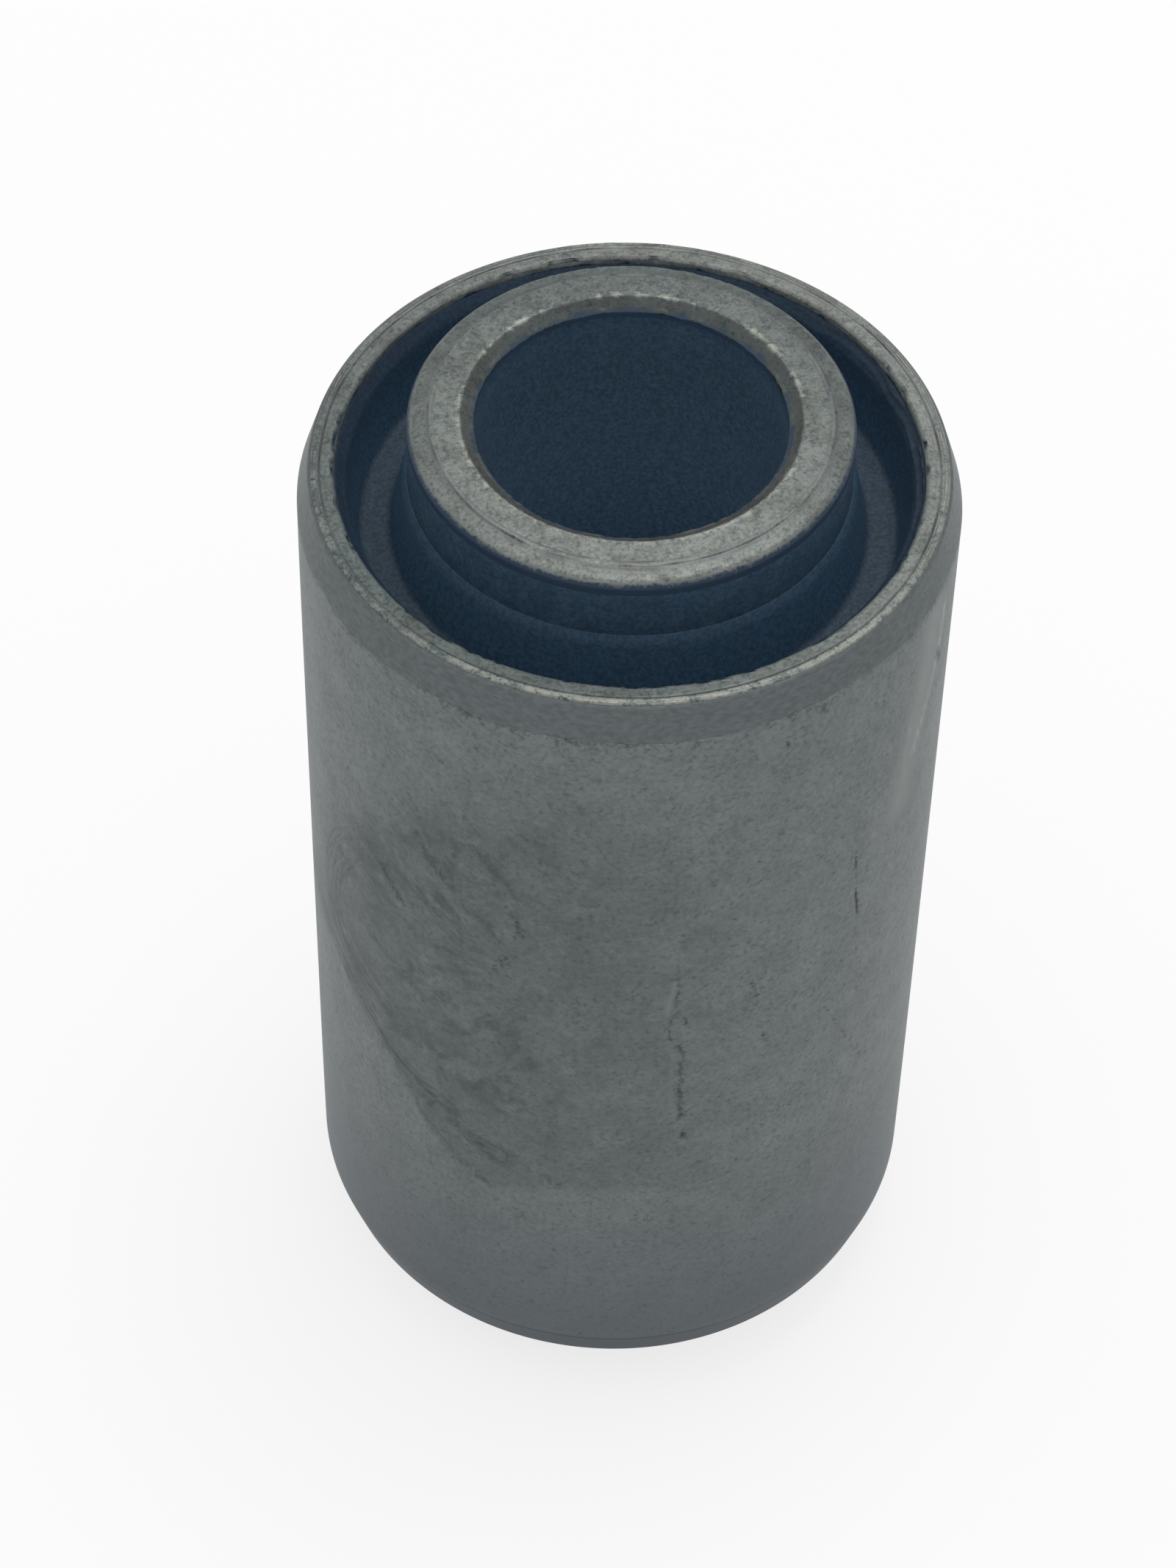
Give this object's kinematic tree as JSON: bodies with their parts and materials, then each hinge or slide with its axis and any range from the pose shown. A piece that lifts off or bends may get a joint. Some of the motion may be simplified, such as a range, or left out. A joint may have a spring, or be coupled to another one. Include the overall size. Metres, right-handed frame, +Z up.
{
  "type": "rubber metal bush",
  "caption": "Cylindrical rubber metal bush: a steel outer sleeve with tapered lead-ins, a longer chamfered steel inner sleeve and a bonded rubber ring between them.",
  "frame": {"origin": "centre of the inner sleeve's lower end face, which the bush stands on", "axes": "+Z up along the common axis of both sleeves; the part is round, so X and Y are free"},
  "size_m": [0.06, 0.06, 0.112],
  "materials": {
    "outer_steel": "drawn mild steel tube, thin grey phosphate and oil film, faced bright at the rims",
    "rubber": "moulded natural rubber, matt black",
    "inner_steel": "steel tube, faced bright at the ends, dark bonding film on the wall and in the bore"
  },
  "bodies": {
    "root": {"outer_sleeve": "outer_steel", "rubber_element": "rubber", "inner_sleeve": "inner_steel"}
  },
  "joints": []
}
